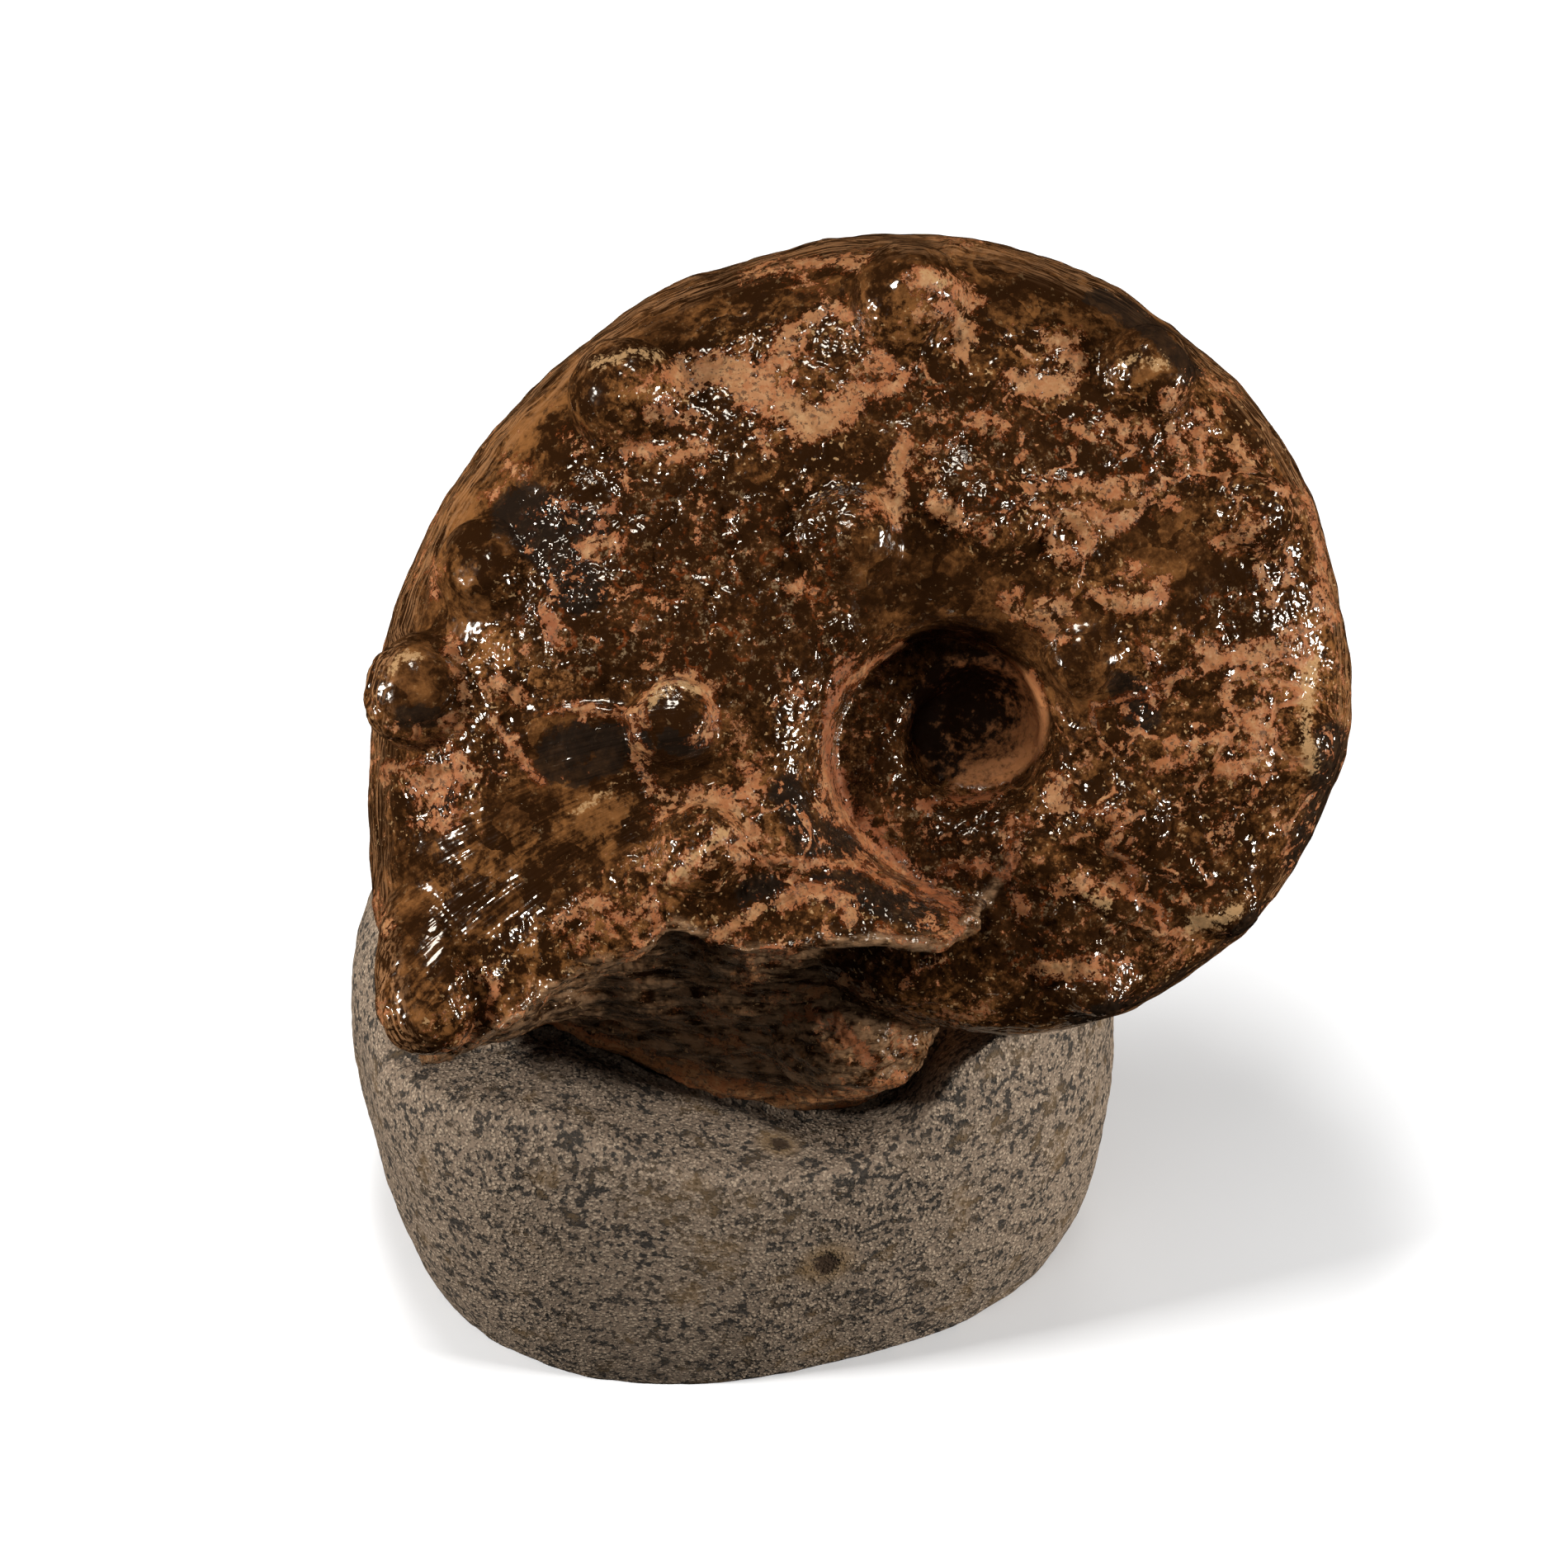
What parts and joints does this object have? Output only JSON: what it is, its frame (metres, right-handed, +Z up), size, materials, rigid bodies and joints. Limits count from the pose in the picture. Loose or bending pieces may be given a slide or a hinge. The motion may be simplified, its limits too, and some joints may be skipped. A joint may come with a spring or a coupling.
{
  "type": "ammonite fossil on a stone stand",
  "caption": "Large horned ammonite fossil with a broken mouth, leaning in a seat ground into a rounded granite cobble that is sawn flat to stand on.",
  "frame": {"origin": "middle of the cobble's sawn underside, on the surface it stands on", "axes": "+Z up, the fossil's front flank faces -Y and up, its broken mouth is low on the -X side"},
  "size_m": [0.2832, 0.2181, 0.3251],
  "materials": {
    "fossil_calcite": "varnished dark brown calcite with patches of matt orange and tan matrix",
    "cobble_granite": "matt, fine-grained, dark specks, rusty stains"
  },
  "bodies": {
    "root": {"ammonite": "fossil_calcite", "base_stone": "cobble_granite"}
  },
  "joints": []
}
